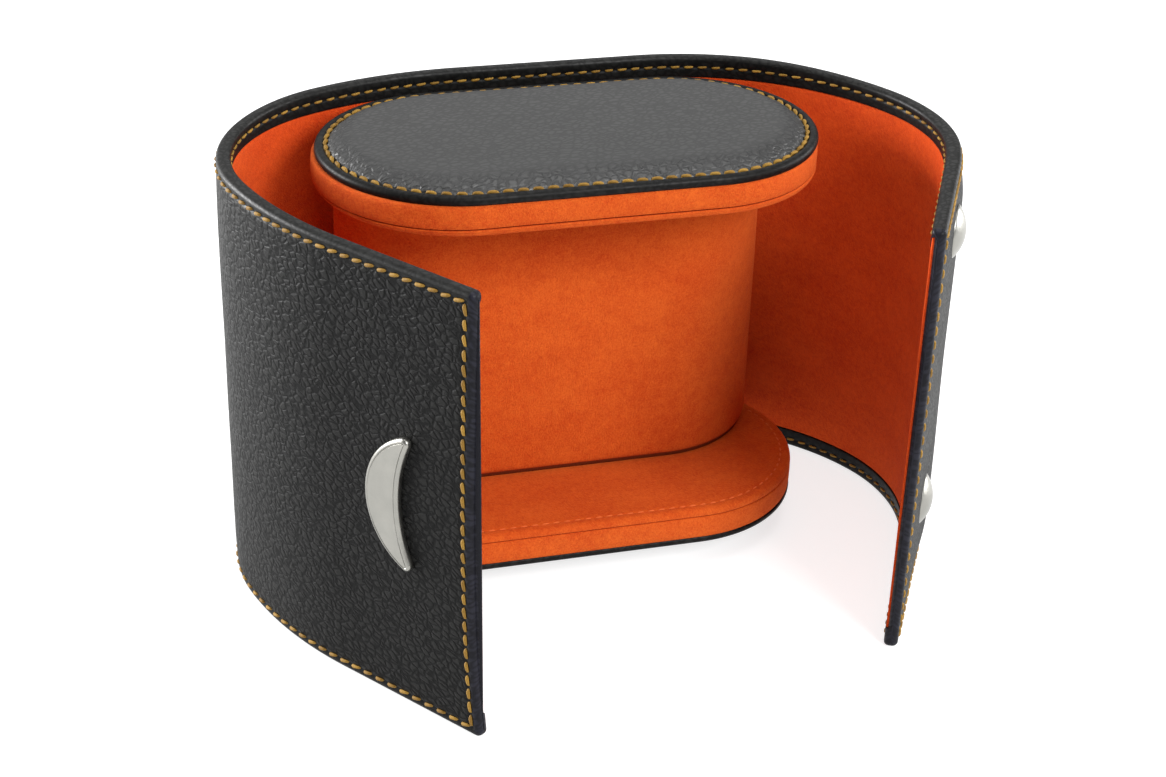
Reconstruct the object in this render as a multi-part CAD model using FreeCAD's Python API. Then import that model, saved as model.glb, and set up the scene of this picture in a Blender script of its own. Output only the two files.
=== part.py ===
import FreeCAD, Part
import math
import os

# A small leather wrap case. A stiff leather wall stands on its lower edge and curls round an
# oblong spool: two padded discs with a column between them. The wall is fixed to the column
# at the back, and its two flaps close in front of the discs and overlap there.
#
# Everything is laid out in the spool's frame, in millimetres: +Z up, z = 0 at the wall's
# lower edge, the plan centre of the discs at x = y = 0, +X along the discs and -Y towards
# the opening. The last step moves the origin to the middle of the footprint.

# ---- wall ----
WALL_HEIGHT = 100.0
LINING_T = 0.8
BOARD_T = 1.2
LEATHER_T = 1.0
WALL_T = LINING_T + BOARD_T + LEATHER_T
TURN_T = 0.8              # leather turned over the edges of the board
BORDER_HEIGHT = 4.5       # turned-in leather border inside, along the top and the bottom
FOLD_GAP = 0.6            # gap between neighbouring panels at a fold

# Plan of the lining face, from the middle of the back towards each front edge: straight runs
# by length, bends by radius and by turn in degrees.
BACK_GAP = 3.0            # from the discs to the lining at the back
LEFT_RUNS = (
    {"straight": 17.6},
    {"radius": 84.5, "turn": 23.7},
    {"radius": 39.0, "turn": 80.6},
    {"radius": 89.0, "turn": 22.0},
    {"straight": 36.0},
)
RIGHT_RUNS = (
    {"straight": 25.3},
    {"radius": 55.0, "turn": 64.7},
    {"radius": 39.6, "turn": 47.1},
    {"radius": 97.0, "turn": 6.4},
    {"straight": 36.0},
)
# Distances along the lining face, from the middle of the back, where the wall folds.
LEFT_FOLDS = (40.0, 78.0, 122.0)
RIGHT_FOLDS = (36.0, 73.4, 114.9)

# ---- stitching ----
STITCH_INSET = 2.0        # from the edge of the leather to the middle of the row
THREAD_W = 0.8
THREAD_T = 0.35

# ---- discs ----
DISC_HALF_STRAIGHT = 25.3
DISC_R = 30.7
DISC_T = 9.0
BASE_BOTTOM = 6.0         # the base disc hangs clear of the surface that the wall stands on
TOP_RIM = 97.2            # highest point of the top disc's rim
SKIN_T = 1.0              # covering over the disc boards
COVER_RIM = 2.1           # leather rim on the outer face of each disc
SUEDE_LIP = 1.8           # suede facing on the inner face of each disc
PAD_INSET = 3.2           # from the rim to the raised pad
PAD_RISE = 2.3
PAD_EDGE_R = 2.1
FOAM_T = 3.0
RIM_EDGE_R = 0.8
DISC_STITCH_INSET = 2.4
STITCH_TO_COLUMN = 0.3    # the base disc's thread row stops this far short of the column

# ---- column ----
CORE_FRONT_Y = -6.0
CORE_HALF_WIDTH = 51.5
CORE_CORNER_R = 27.0
CORE_BACK_INSET = 1.0     # the column stands this far inside the discs at the back
CORE_BACK_CORNER_R = 4.0
SLEEVE_T = 0.8
CORE_WALL_T = 2.0
PLATE_T = 3.0
PLATE_CLEARANCE = 0.1

# ---- fixings ----
HOLE_CLEARANCE = 0.05
SCREW_R = 1.5
SCREW_LENGTH = 9.1        # shank, from halfway down the head
SCREW_HEAD_R = 3.0
SCREW_HEAD_H = 1.5
SCREW_X = 32.0
SCREW_Y = (3.0, 20.0)
PAD_HALF_WIDTH = 18.0
PAD_LOW_Z = 25.0
PAD_HIGH_Z = 78.0
RIVET_X = 12.0
RIVET_Z = (36.0, 67.0)
RIVET_R = 1.5
RIVET_HEAD_R = 3.0
RIVET_HEAD_H = 1.0
RIVET_CUP_R = 2.6

# ---- crescent clasp, on the left flap ----
CLASP_EDGE_DISTANCE = 14.0    # from the flap's front edge to the crescent's tips
CLASP_Z = 48.8
CLASP_HALF_HEIGHT = 16.1
CLASP_OUTER_SAGITTA = 13.2
CLASP_INNER_SAGITTA = 4.2
CLASP_T = 1.6
CLASP_TIP_R = 1.3
CLASP_BEVEL = 0.55
CLASP_POST_DZ = 7.5
CLASP_POST_IN = 6.2           # from the line of the tips to the posts
POST_R = 1.25
POST_HEAD_R = 2.5
POST_HEAD_H = 0.5

# ---- studs on the right flap, and the magnets in the left flap that hold them ----
STUD_EDGE_DISTANCE = 28.4     # from the right flap's front edge
STUD_Z = (22.0, 88.0)
STUD_R = 5.7
STUD_H = 2.0
STUD_RIM_H = 0.5
MAGNET_EDGE_DISTANCE = 8.5    # from the left flap's front edge
MAGNET_R = 5.0
MAGNET_T = 1.0

BASE_TOP = BASE_BOTTOM + DISC_T
TOP_BOTTOM = TOP_RIM - DISC_T
BACK_Y = DISC_R + BACK_GAP
FOAM_TOP = TOP_RIM + PAD_RISE - SKIN_T
FOAM_LOW = FOAM_TOP - FOAM_T
UP = FreeCAD.Vector(0, 0, 1)

PAST = 1.0                # how far a cutting shape runs past what it cuts
THROUGH = 30.0            # long enough to cut through a disc and an end plate
TINY = 1e-6


# ---- the wall's plan ----
def run_length(run):
    if "straight" in run:
        return run["straight"]
    return run["radius"] * math.radians(run["turn"])


def side_length(runs):
    return sum(run_length(run) for run in runs)


LEFT_END = side_length(LEFT_RUNS)
RIGHT_END = side_length(RIGHT_RUNS)


def spot(s, out=0.0):
    """Plan point and outward normal at signed distance s along the wall.

    s is counted along the lining face from the middle of the back, negative on the left.
    out is how far outside the lining face the point lies.
    """
    side = -1.0 if s < 0 else 1.0
    left_over = abs(s)
    x = 0.0
    y = BACK_Y
    turned = 0.0
    for run in (LEFT_RUNS if s < 0 else RIGHT_RUNS):
        step = min(left_over, run_length(run))
        if "straight" in run:
            x += step * math.cos(turned)
            y -= step * math.sin(turned)
        else:
            r = run["radius"]
            after = turned + step / r
            x += r * (math.sin(after) - math.sin(turned))
            y += r * (math.cos(after) - math.cos(turned))
            turned = after
        left_over -= step
        if left_over <= 0:
            break
    normal = FreeCAD.Vector(side * math.sin(turned), math.cos(turned), 0)
    return FreeCAD.Vector(side * x, y, 0) + normal * out, normal


def run_ends():
    """Distances where one run of the wall's plan meets the next."""
    ends = []
    for side, runs in ((-1.0, LEFT_RUNS), (1.0, RIGHT_RUNS)):
        total = 0.0
        for run in runs[:-1]:
            total += run_length(run)
            ends.append(side * total)
    return ends


def is_straight(s):
    total = 0.0
    for run in (LEFT_RUNS if s < 0 else RIGHT_RUNS):
        total += run_length(run)
        if abs(s) < total:
            return "straight" in run
    return True


def wall_edges(s0, s1, out):
    """Edges of the wall's plan from s0 to s1: a line or one arc for each run."""
    stops = [s0] + sorted(s for s in run_ends() if s0 < s < s1) + [s1]
    edges = []
    for start, end in zip(stops, stops[1:]):
        middle = 0.5 * (start + end)
        first = spot(start, out)[0]
        last = spot(end, out)[0]
        if is_straight(middle):
            edges.append(Part.LineSegment(first, last).toShape())
        else:
            edges.append(Part.Arc(first, spot(middle, out)[0], last).toShape())
    return edges


def wall_slab(s0, s1, out0, out1, z0, z1):
    """A piece of wall from s0 to s1, between two offsets and two heights."""
    inner = wall_edges(s0, s1, out0)
    outer = wall_edges(s0, s1, out1)
    ends = []
    for s in (s0, s1):
        ends.append(Part.LineSegment(spot(s, out0)[0], spot(s, out1)[0]).toShape())
    wire = Part.Wire(Part.__sortEdges__(inner + outer + ends))
    slab = Part.Face(wire).extrude(UP * (z1 - z0))
    slab.translate(UP * z0)
    return slab


def on_wall(shape, s, out, z):
    """Move a shape from local axes to the wall: local +Z points out, local +Y points up."""
    place, normal = spot(s, out)
    along = UP.cross(normal)
    turn = FreeCAD.Rotation(along, UP, normal, "ZYX")
    moved = shape.copy()
    moved.Placement = FreeCAD.Placement(place + UP * z, turn)
    return moved


def joined(shapes):
    return shapes[0].fuse(shapes[1:]).removeSplitter()


def panels():
    """Name, start and end of each wall panel, from the left front edge to the right one."""
    names = ["left_flap", "left_end", "left_rear", "back", "right_rear", "right_end", "right_flap"]
    stops = [-LEFT_END] + [-s for s in reversed(LEFT_FOLDS)] + list(RIGHT_FOLDS) + [RIGHT_END]
    found = []
    for name, start, end in zip(names, stops, stops[1:]):
        s0 = start if name == "left_flap" else start + FOLD_GAP / 2
        s1 = end if name == "right_flap" else end - FOLD_GAP / 2
        found.append((name, s0, s1))
    return found


def inside_turned_edge(name, s0, s1):
    """The stretch of a panel behind the leather that is turned over a flap's front edge."""
    if name == "left_flap":
        return s0 + TURN_T, s1
    if name == "right_flap":
        return s0, s1 - TURN_T
    return s0, s1


def panel_leather(name, s0, s1):
    """Outer leather, turned over the top and bottom edges into a border on the inside."""
    pieces = [wall_slab(s0, s1, WALL_T - LEATHER_T, WALL_T, 0, WALL_HEIGHT)]
    for low, high in ((0, TURN_T), (WALL_HEIGHT - TURN_T, WALL_HEIGHT)):
        pieces.append(wall_slab(s0, s1, 0, WALL_T, low, high))
    for low, high in ((0, BORDER_HEIGHT), (WALL_HEIGHT - BORDER_HEIGHT, WALL_HEIGHT)):
        pieces.append(wall_slab(s0, s1, 0, LINING_T, low, high))
    b0, b1 = inside_turned_edge(name, s0, s1)
    if b0 > s0:
        pieces.append(wall_slab(s0, b0, 0, WALL_T, 0, WALL_HEIGHT))
    if b1 < s1:
        pieces.append(wall_slab(b1, s1, 0, WALL_T, 0, WALL_HEIGHT))
    return joined(pieces)


def panel_board(name, s0, s1):
    b0, b1 = inside_turned_edge(name, s0, s1)
    return wall_slab(b0, b1, LINING_T, LINING_T + BOARD_T, TURN_T, WALL_HEIGHT - TURN_T)


def panel_lining(name, s0, s1):
    b0, b1 = inside_turned_edge(name, s0, s1)
    return wall_slab(b0, b1, 0, LINING_T, BORDER_HEIGHT, WALL_HEIGHT - BORDER_HEIGHT)


def panel_stitching(name, s0, s1):
    """Thread rows along the top and bottom, outside and inside, and up a flap's front edge."""
    half = THREAD_W / 2
    rows = []
    t0 = s0 + STITCH_INSET if name == "left_flap" else s0
    t1 = s1 - STITCH_INSET if name == "right_flap" else s1
    for z in (STITCH_INSET, WALL_HEIGHT - STITCH_INSET):
        rows.append(wall_slab(t0, t1, WALL_T, WALL_T + THREAD_T, z - half, z + half))
        rows.append(wall_slab(t0, t1, -THREAD_T, 0, z - half, z + half))
    low = STITCH_INSET + half
    high = WALL_HEIGHT - STITCH_INSET - half
    if name == "left_flap":
        rows.append(wall_slab(t0, t0 + THREAD_W, WALL_T, WALL_T + THREAD_T, low, high))
        return [rows[0].fuse([rows[4], rows[2]]).removeSplitter(), rows[1], rows[3]]
    if name == "right_flap":
        rows.append(wall_slab(t1 - THREAD_W, t1, WALL_T, WALL_T + THREAD_T, low, high))
        return [rows[0].fuse([rows[4], rows[2]]).removeSplitter(), rows[1], rows[3]]
    return rows


# ---- discs ----
def oblong(r, z0, z1, half_straight=DISC_HALF_STRAIGHT):
    """A prism with straight long sides and round ends."""
    left = FreeCAD.Vector(-half_straight, 0, z0)
    right = FreeCAD.Vector(half_straight, 0, z0)
    front = FreeCAD.Vector(0, -r, 0)
    edges = [
        Part.LineSegment(left + front, right + front).toShape(),
        Part.Arc(right + front, right + FreeCAD.Vector(r, 0, 0), right - front).toShape(),
        Part.LineSegment(right - front, left - front).toShape(),
        Part.Arc(left - front, left - FreeCAD.Vector(r, 0, 0), left + front).toShape(),
    ]
    return Part.Face(Part.Wire(edges)).extrude(UP * (z1 - z0))


def rounded_at(shape, z, radius):
    """Round off the edges of a prism that lie flat at height z."""
    flat = []
    for edge in shape.Edges:
        box = edge.BoundBox
        if abs(box.ZMin - z) < TINY and abs(box.ZMax - z) < TINY:
            flat.append(edge)
    return shape.makeFillet(radius, flat)


def disc_screw(x, y, head_z, up):
    """A countersunk screw, head outwards: its flat head lies at head_z."""
    head = Part.makeCone(SCREW_HEAD_R, SCREW_R, SCREW_HEAD_H)
    shank = Part.makeCylinder(SCREW_R, SCREW_LENGTH, FreeCAD.Vector(0, 0, SCREW_HEAD_H / 2))
    screw = head.fuse(shank).removeSplitter()
    if not up:
        screw.rotate(FreeCAD.Vector(0, 0, 0), FreeCAD.Vector(1, 0, 0), 180)
    screw.translate(FreeCAD.Vector(x, y, head_z))
    return screw


def disc_screw_hole(x, y, head_z, up):
    head = Part.makeCone(SCREW_HEAD_R + HOLE_CLEARANCE, SCREW_R + HOLE_CLEARANCE, SCREW_HEAD_H)
    shank = Part.makeCylinder(SCREW_R + HOLE_CLEARANCE, THROUGH)
    hole = head.fuse(shank)
    if not up:
        hole.rotate(FreeCAD.Vector(0, 0, 0), FreeCAD.Vector(1, 0, 0), 180)
    hole.translate(FreeCAD.Vector(x, y, head_z))
    return hole


def screw_spots():
    return [(x, y) for x in (-SCREW_X, SCREW_X) for y in SCREW_Y]


def base_disc():
    """The base disc's pieces: leather underneath, suede on top, a stiff board inside."""
    seam = BASE_BOTTOM + COVER_RIM
    lip = BASE_TOP - SUEDE_LIP
    low = BASE_BOTTOM + SKIN_T
    high = BASE_TOP - SKIN_T
    tray = rounded_at(oblong(DISC_R, BASE_BOTTOM, seam), BASE_BOTTOM, RIM_EDGE_R)
    cover = tray.cut(oblong(DISC_R - SKIN_T, low, seam + PAST))
    band = oblong(DISC_R, seam, lip).cut(oblong(DISC_R - SKIN_T, seam - PAST, lip + PAST))
    facing = rounded_at(oblong(DISC_R, lip, BASE_TOP), BASE_TOP, RIM_EDGE_R)
    holes = [disc_screw_hole(x, y, low, True) for x, y in screw_spots()]
    facing = facing.cut([oblong(DISC_R - SKIN_T, lip - PAST, high)] + holes)
    board = oblong(DISC_R - SKIN_T, low, high).cut(holes)
    screws = [disc_screw(x, y, low, True) for x, y in screw_spots()]
    foot = column(-STITCH_TO_COLUMN, BASE_TOP - PAST, BASE_TOP + PAST)
    return {
        "base_leather_cover": cover,
        "base_board": board,
        "base_suede_band": band,
        "base_suede_top": facing,
        "base_stitching": disc_thread(BASE_TOP, BASE_TOP + THREAD_T).cut(foot),
        "base_screws": Part.makeCompound(screws),
    }


def top_disc():
    """The top disc's pieces: a padded leather top, suede round the side and underneath."""
    seam = TOP_RIM - COVER_RIM
    lip = TOP_BOTTOM + SUEDE_LIP
    low = TOP_BOTTOM + SKIN_T
    pad_r = DISC_R - PAD_INSET
    rim = rounded_at(oblong(DISC_R, seam, TOP_RIM), TOP_RIM, RIM_EDGE_R)
    crown = rounded_at(oblong(pad_r, seam, TOP_RIM + PAD_RISE), TOP_RIM + PAD_RISE, PAD_EDGE_R)
    foam = rounded_at(oblong(pad_r - SKIN_T, FOAM_LOW, FOAM_TOP), FOAM_TOP, PAD_EDGE_R - SKIN_T)
    inside = oblong(DISC_R - SKIN_T, seam - PAST, FOAM_LOW)
    cover = rim.fuse(crown).removeSplitter().cut([inside, foam])
    band = oblong(DISC_R, lip, seam).cut(oblong(DISC_R - SKIN_T, lip - PAST, seam + PAST))
    holes = [disc_screw_hole(x, y, FOAM_LOW, False) for x, y in screw_spots()]
    facing = rounded_at(oblong(DISC_R, TOP_BOTTOM, lip), TOP_BOTTOM, RIM_EDGE_R)
    facing = facing.cut([oblong(DISC_R - SKIN_T, low, lip + PAST)] + holes)
    board = oblong(DISC_R - SKIN_T, low, FOAM_LOW).cut(holes)
    screws = [disc_screw(x, y, FOAM_LOW, False) for x, y in screw_spots()]
    return {
        "top_leather_cover": cover,
        "top_foam_pad": foam,
        "top_board": board,
        "top_suede_band": band,
        "top_suede_underside": facing,
        "top_stitching": disc_thread(TOP_RIM, TOP_RIM + THREAD_T),
        "top_screws": Part.makeCompound(screws),
    }


def disc_thread(z0, z1):
    """A row of thread on a disc's face, just inside its rim."""
    middle = DISC_R - DISC_STITCH_INSET
    outer = oblong(middle + THREAD_W / 2, z0, z1)
    return outer.cut(oblong(middle - THREAD_W / 2, z0 - PAST, z1 + PAST))


# ---- column ----
def column(inset, z0, z1):
    """A prism of the column's plan, drawn in all round by inset.

    The front is flat with large round corners. The back follows the discs' outline.
    """
    front = CORE_FRONT_Y + inset
    corner = CORE_CORNER_R - inset
    side = CORE_HALF_WIDTH - inset
    back = 2 * DISC_R
    lower = front + corner
    cut = corner * (1 - math.sqrt(0.5))

    def at(x, y):
        return FreeCAD.Vector(x, y, z0)

    edges = [
        Part.LineSegment(at(corner - side, front), at(side - corner, front)).toShape(),
        Part.Arc(at(side - corner, front), at(side - cut, front + cut), at(side, lower)).toShape(),
        Part.LineSegment(at(side, lower), at(side, back)).toShape(),
        Part.LineSegment(at(side, back), at(-side, back)).toShape(),
        Part.LineSegment(at(-side, back), at(-side, lower)).toShape(),
        Part.Arc(at(-side, lower), at(cut - side, front + cut), at(corner - side, front)).toShape(),
    ]
    block = Part.Face(Part.Wire(edges)).extrude(UP * (z1 - z0))
    shape = block.common(oblong(DISC_R - CORE_BACK_INSET - inset, z0, z1)).removeSplitter()
    upright = [e for e in shape.Edges if e.BoundBox.ZLength > 0 and e.BoundBox.XLength < TINY]
    beyond = DISC_HALF_STRAIGHT + CORE_BACK_CORNER_R
    corners = [e for e in upright if abs(e.BoundBox.XMin) > beyond]
    return shape.makeFillet(CORE_BACK_CORNER_R - inset, corners)


def spine_rivet(x, z, grow):
    """A rivet through the column's back wall, the spine pad, the lining and the board."""
    start = DISC_R - CORE_BACK_INSET - SLEEVE_T - CORE_WALL_T
    end = BACK_Y + LINING_T + BOARD_T
    head = Part.makeCylinder(RIVET_HEAD_R, RIVET_HEAD_H, FreeCAD.Vector(0, 0, -RIVET_HEAD_H))
    shank = Part.makeCylinder(RIVET_R + grow, end - start)
    cup_h = BOARD_T
    cup = Part.makeCone(RIVET_R + grow, RIVET_CUP_R + grow, cup_h)
    cup.translate(FreeCAD.Vector(0, 0, end - start - cup_h))
    rivet = joined([shank, cup]) if grow else joined([head, shank, cup])
    rivet.rotate(FreeCAD.Vector(0, 0, 0), FreeCAD.Vector(1, 0, 0), -90)
    rivet.translate(FreeCAD.Vector(x, start, z))
    return rivet


def rivet_spots():
    return [(x, z) for x in (-RIVET_X, RIVET_X) for z in RIVET_Z]


def spine_holes():
    return [spine_rivet(x, z, HOLE_CLEARANCE) for x, z in rivet_spots()]


def spool_column():
    """The hollow column, its suede sleeve, its end plates, and what fixes it to the wall."""
    sleeve_in = SLEEVE_T
    board_in = SLEEVE_T + CORE_WALL_T
    plate_in = board_in + PLATE_CLEARANCE
    bore = column(sleeve_in, BASE_TOP - PAST, TOP_BOTTOM + PAST)
    hollow = column(board_in, BASE_TOP - PAST, TOP_BOTTOM + PAST)
    sleeve = column(0, BASE_TOP, TOP_BOTTOM).cut(bore)
    tube = column(sleeve_in, BASE_TOP, TOP_BOTTOM).cut(hollow)
    low_holes = [disc_screw_hole(x, y, BASE_BOTTOM + SKIN_T, True) for x, y in screw_spots()]
    high_holes = [disc_screw_hole(x, y, FOAM_LOW, False) for x, y in screw_spots()]
    lower = column(plate_in, BASE_TOP, BASE_TOP + PLATE_T).cut(low_holes)
    upper = column(plate_in, TOP_BOTTOM - PLATE_T, TOP_BOTTOM).cut(high_holes)
    back_y = DISC_R - CORE_BACK_INSET
    pad = Part.makeBox(
        2 * PAD_HALF_WIDTH,
        BACK_Y - back_y,
        PAD_HIGH_Z - PAD_LOW_Z,
        FreeCAD.Vector(-PAD_HALF_WIDTH, back_y, PAD_LOW_Z),
    )
    rivets = [spine_rivet(x, z, 0) for x, z in rivet_spots()]
    return {
        "core_suede_sleeve": sleeve.cut(spine_holes()),
        "core_board": tube.cut(spine_holes()),
        "core_lower_plate": lower,
        "core_upper_plate": upper,
        "spine_pad": pad.cut(spine_holes()),
        "spine_rivets": Part.makeCompound(rivets),
    }


# ---- clasp, studs and magnets ----
def arc_radius(half_chord, sagitta):
    return (half_chord ** 2 + sagitta ** 2) / (2 * sagitta)


def crescent():
    """A plain crescent plate with round tips, lying flat with its back at z = 0.

    Its tips lie on local x = 0 and its belly points along -X.
    """
    outer_r = arc_radius(CLASP_HALF_HEIGHT, CLASP_OUTER_SAGITTA)
    inner_r = arc_radius(CLASP_HALF_HEIGHT, CLASP_INNER_SAGITTA)
    outer_centre = FreeCAD.Vector(outer_r - CLASP_OUTER_SAGITTA, 0, 0)
    inner_centre = FreeCAD.Vector(inner_r - CLASP_INNER_SAGITTA, 0, 0)
    disc = Part.makeCylinder(outer_r, CLASP_T, outer_centre)
    bite = Part.makeCylinder(inner_r, 3 * CLASP_T, inner_centre - UP * CLASP_T)
    plate = disc.cut(bite)
    upright = [e for e in plate.Edges if e.BoundBox.ZLength > CLASP_T / 2]
    tips = [e for e in upright if abs(e.BoundBox.XMin) + e.BoundBox.XLength < CLASP_TIP_R]
    plate = plate.makeFillet(CLASP_TIP_R, tips)
    rim = [e for e in plate.Edges if abs(e.BoundBox.ZMin - CLASP_T) < TINY]
    return plate.makeChamfer(CLASP_BEVEL, rim)


def wall_rivet(r, head_r, head_h):
    """A rivet through the leather and the board, its flange against the lining."""
    shank = Part.makeCylinder(r, BOARD_T + LEATHER_T)
    flange = Part.makeCylinder(head_r, head_h)
    return joined([shank, flange])


def clasp_posts(shape):
    tip_s = CLASP_EDGE_DISTANCE - LEFT_END
    s = tip_s + CLASP_POST_IN
    return [on_wall(shape, s, LINING_T, CLASP_Z + dz) for dz in (-CLASP_POST_DZ, CLASP_POST_DZ)]


def studs(shape, out):
    return [on_wall(shape, RIGHT_END - STUD_EDGE_DISTANCE, out, z) for z in STUD_Z]


def magnets(shape):
    return [on_wall(shape, MAGNET_EDGE_DISTANCE - LEFT_END, LINING_T, z) for z in STUD_Z]


def stud_cap():
    """A low domed cap on a short straight rim."""
    dome_h = STUD_H - STUD_RIM_H
    ball_r = (STUD_R ** 2 + dome_h ** 2) / (2 * dome_h)
    rim = Part.makeCylinder(STUD_R, STUD_RIM_H)
    ball = Part.makeSphere(ball_r, FreeCAD.Vector(0, 0, STUD_H - ball_r))
    above = Part.makeCylinder(STUD_R, STUD_H, FreeCAD.Vector(0, 0, STUD_RIM_H))
    return rim.fuse(ball.common(above)).removeSplitter()


def hardware():
    loose = HOLE_CLEARANCE
    plate = on_wall(crescent(), CLASP_EDGE_DISTANCE - LEFT_END, WALL_T, CLASP_Z)
    post = wall_rivet(POST_R, POST_HEAD_R, POST_HEAD_H)
    stem = wall_rivet(SCREW_R, RIVET_HEAD_R, POST_HEAD_H)
    magnet = Part.makeCylinder(MAGNET_R, MAGNET_T)
    made = {
        "clasp_plate": plate,
        "clasp_rivets": Part.makeCompound(clasp_posts(post)),
        "stud_caps": Part.makeCompound(studs(stud_cap(), WALL_T)),
        "stud_rivets": Part.makeCompound(studs(stem, LINING_T)),
        "magnet_discs": Part.makeCompound(magnets(magnet)),
    }
    post_hole = wall_rivet(POST_R + loose, POST_HEAD_R + loose, POST_HEAD_H)
    stem_hole = wall_rivet(SCREW_R + loose, RIVET_HEAD_R + loose, POST_HEAD_H)
    pocket = Part.makeCylinder(MAGNET_R + loose, MAGNET_T)
    return made, clasp_posts(post_hole), studs(stem_hole, LINING_T), magnets(pocket)


def wall():
    made, post_holes, stem_holes, pockets = hardware()
    nodes = {}
    for name, s0, s1 in panels():
        nodes[name + "_leather"] = panel_leather(name, s0, s1)
        nodes[name + "_board"] = panel_board(name, s0, s1)
        nodes[name + "_lining"] = panel_lining(name, s0, s1)
        nodes[name + "_stitching"] = Part.makeCompound(panel_stitching(name, s0, s1))
    nodes["left_flap_leather"] = nodes["left_flap_leather"].cut(post_holes)
    nodes["left_flap_board"] = nodes["left_flap_board"].cut(post_holes + pockets)
    for name in ("right_flap_leather", "right_flap_board"):
        nodes[name] = nodes[name].cut(stem_holes)
    for name in ("back_board", "back_lining"):
        nodes[name] = nodes[name].cut(spine_holes())
    nodes.update(made)
    return nodes


def case():
    """Every node by name, in the spool's frame."""
    nodes = {}
    nodes.update(wall())
    nodes.update(base_disc())
    nodes.update(top_disc())
    nodes.update(spool_column())
    return nodes


def footprint_shift(nodes):
    """The move that brings the middle of the footprint to x = y = 0."""
    box = FreeCAD.BoundBox()
    for shape in nodes.values():
        box.add(shape.BoundBox)
    return FreeCAD.Vector(-box.Center.x, -box.Center.y, 0)


def main():
    os.makedirs("parts", exist_ok=True)
    nodes = case()
    shift = footprint_shift(nodes)
    print("origin shift", round(shift.x, 4), round(shift.y, 4))
    for name, shape in sorted(nodes.items()):
        moved = shape.copy()
        moved.translate(shift)
        moved.exportStep("parts/" + name + ".step")
        print(name, len(moved.Solids), moved.isValid(), round(moved.Volume, 1))


main()
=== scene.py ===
import bpy
import bmesh
import math
import random
from mathutils import Matrix, Vector, noise


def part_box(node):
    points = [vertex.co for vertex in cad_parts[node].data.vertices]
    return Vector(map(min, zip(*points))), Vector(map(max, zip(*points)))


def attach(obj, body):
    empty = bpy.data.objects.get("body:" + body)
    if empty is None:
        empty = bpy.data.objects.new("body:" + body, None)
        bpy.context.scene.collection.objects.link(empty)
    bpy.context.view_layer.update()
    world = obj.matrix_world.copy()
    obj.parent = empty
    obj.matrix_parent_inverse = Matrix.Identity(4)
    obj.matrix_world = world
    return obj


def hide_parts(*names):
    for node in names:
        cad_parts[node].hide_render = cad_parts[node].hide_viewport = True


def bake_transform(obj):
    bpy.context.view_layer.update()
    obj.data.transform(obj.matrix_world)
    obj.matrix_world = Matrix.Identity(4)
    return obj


# A small leather wrap case: a springy leather wall, lined with orange suede, that curls round
# an oblong spool of two padded discs and a column. The frame holds the structure; this script
# makes what is seen. Shapes are worked out in millimetres, in the frame's own axes, and
# build() turns them into metres.

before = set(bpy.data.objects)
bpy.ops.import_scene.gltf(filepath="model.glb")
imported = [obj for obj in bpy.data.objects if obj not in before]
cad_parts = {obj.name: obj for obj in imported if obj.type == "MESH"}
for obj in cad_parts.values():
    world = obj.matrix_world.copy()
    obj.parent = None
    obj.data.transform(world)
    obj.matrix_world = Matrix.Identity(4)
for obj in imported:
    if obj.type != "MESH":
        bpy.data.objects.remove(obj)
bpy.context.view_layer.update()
MM = 0.001
UP = Vector((0, 0, 1))
dice = random.Random(20)      # for the small differences between stitches

# ---- driving sizes ----
SPOOL_X, SPOOL_Y = [(a + b) / 2 / MM for a, b in zip(*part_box("base_board"))][:2]
BACK_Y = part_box("spine_pad")[1].y / MM      # lining face in the middle of the back
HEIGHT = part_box("back_leather")[1].z / MM
BASE_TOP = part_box("core_board")[0].z / MM
TOP_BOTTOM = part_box("core_board")[1].z / MM
BASE_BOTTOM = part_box("base_leather_cover")[0].z / MM

# Plan of the lining face from the middle of the back to each front edge: (length, 0) for a
# straight run or (radius, turn in degrees) for a bend.
LEFT_RUNS = ((17.6, 0), (84.5, 23.7), (39.0, 80.6), (89.0, 22.0), (36.0, 0))
RIGHT_RUNS = ((25.3, 0), (55.0, 64.7), (39.6, 47.1), (97.0, 6.4), (36.0, 0))

WALL_T = 3.0
RIM_OUTER_R = 1.1             # rounding of the wall's top and bottom, outside
RIM_INNER_R = 0.9
END_R = 1.35                  # rounding of the flaps' front edges
BORDER_H = 4.5                # turned-in leather border, inside
BORDER_RAISE = 0.08           # the border stands this far inside the lining face
BORDER_EDGE_R = 0.3
RECESS = 0.55                 # depth of the recess that the lining lies in
LINING_FACE = 0.08
LINING_EDGE_R = 0.4
LEFT_LINING_TURN = 8.0        # degrees that the lining turns round the front edges
RIGHT_LINING_TURN = 24.0
SEAM_STEP = 0.05              # a last column this close to a seam keeps its shading even

# How the outer leather differs from the plain wall.
RIGHT_SWELL = 1.9             # standing out round the right bend
LOW_SWELL = 0.55              # more of the same, as a share of it, low down
LEFT_SWELL = 0.35
CORNER_DRAW = 2.3             # the left flap's lower corner is drawn forward
MIDDLE_DRAW = 0.55            # and the middle of its edge back
BACK_RISE = 0.6               # the rim is higher along the back
FACE_UNEVEN = 0.12

STITCH_INSET = 2.0
STITCH_PITCH = 3.2
STITCH_LENGTH = 2.65
STITCH_WIDTH = 0.78
STITCH_SLANT = 0.16
GROOVE_DEPTH = 0.28
GROOVE_WIDTH = 0.42

DISC_HALF_STRAIGHT = 25.3
DISC_R = 30.7
DISC_STITCH_INSET = 2.4


# ---- mesh helpers ----
def smoothstep(low, high, x):
    """0 at low and beyond, 1 at high and beyond, either way round."""
    t = min(1.0, max(0.0, (x - low) / (high - low)))
    return t * t * (3 - 2 * t)


def lerp(a, b, t):
    return a + (b - a) * t


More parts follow.
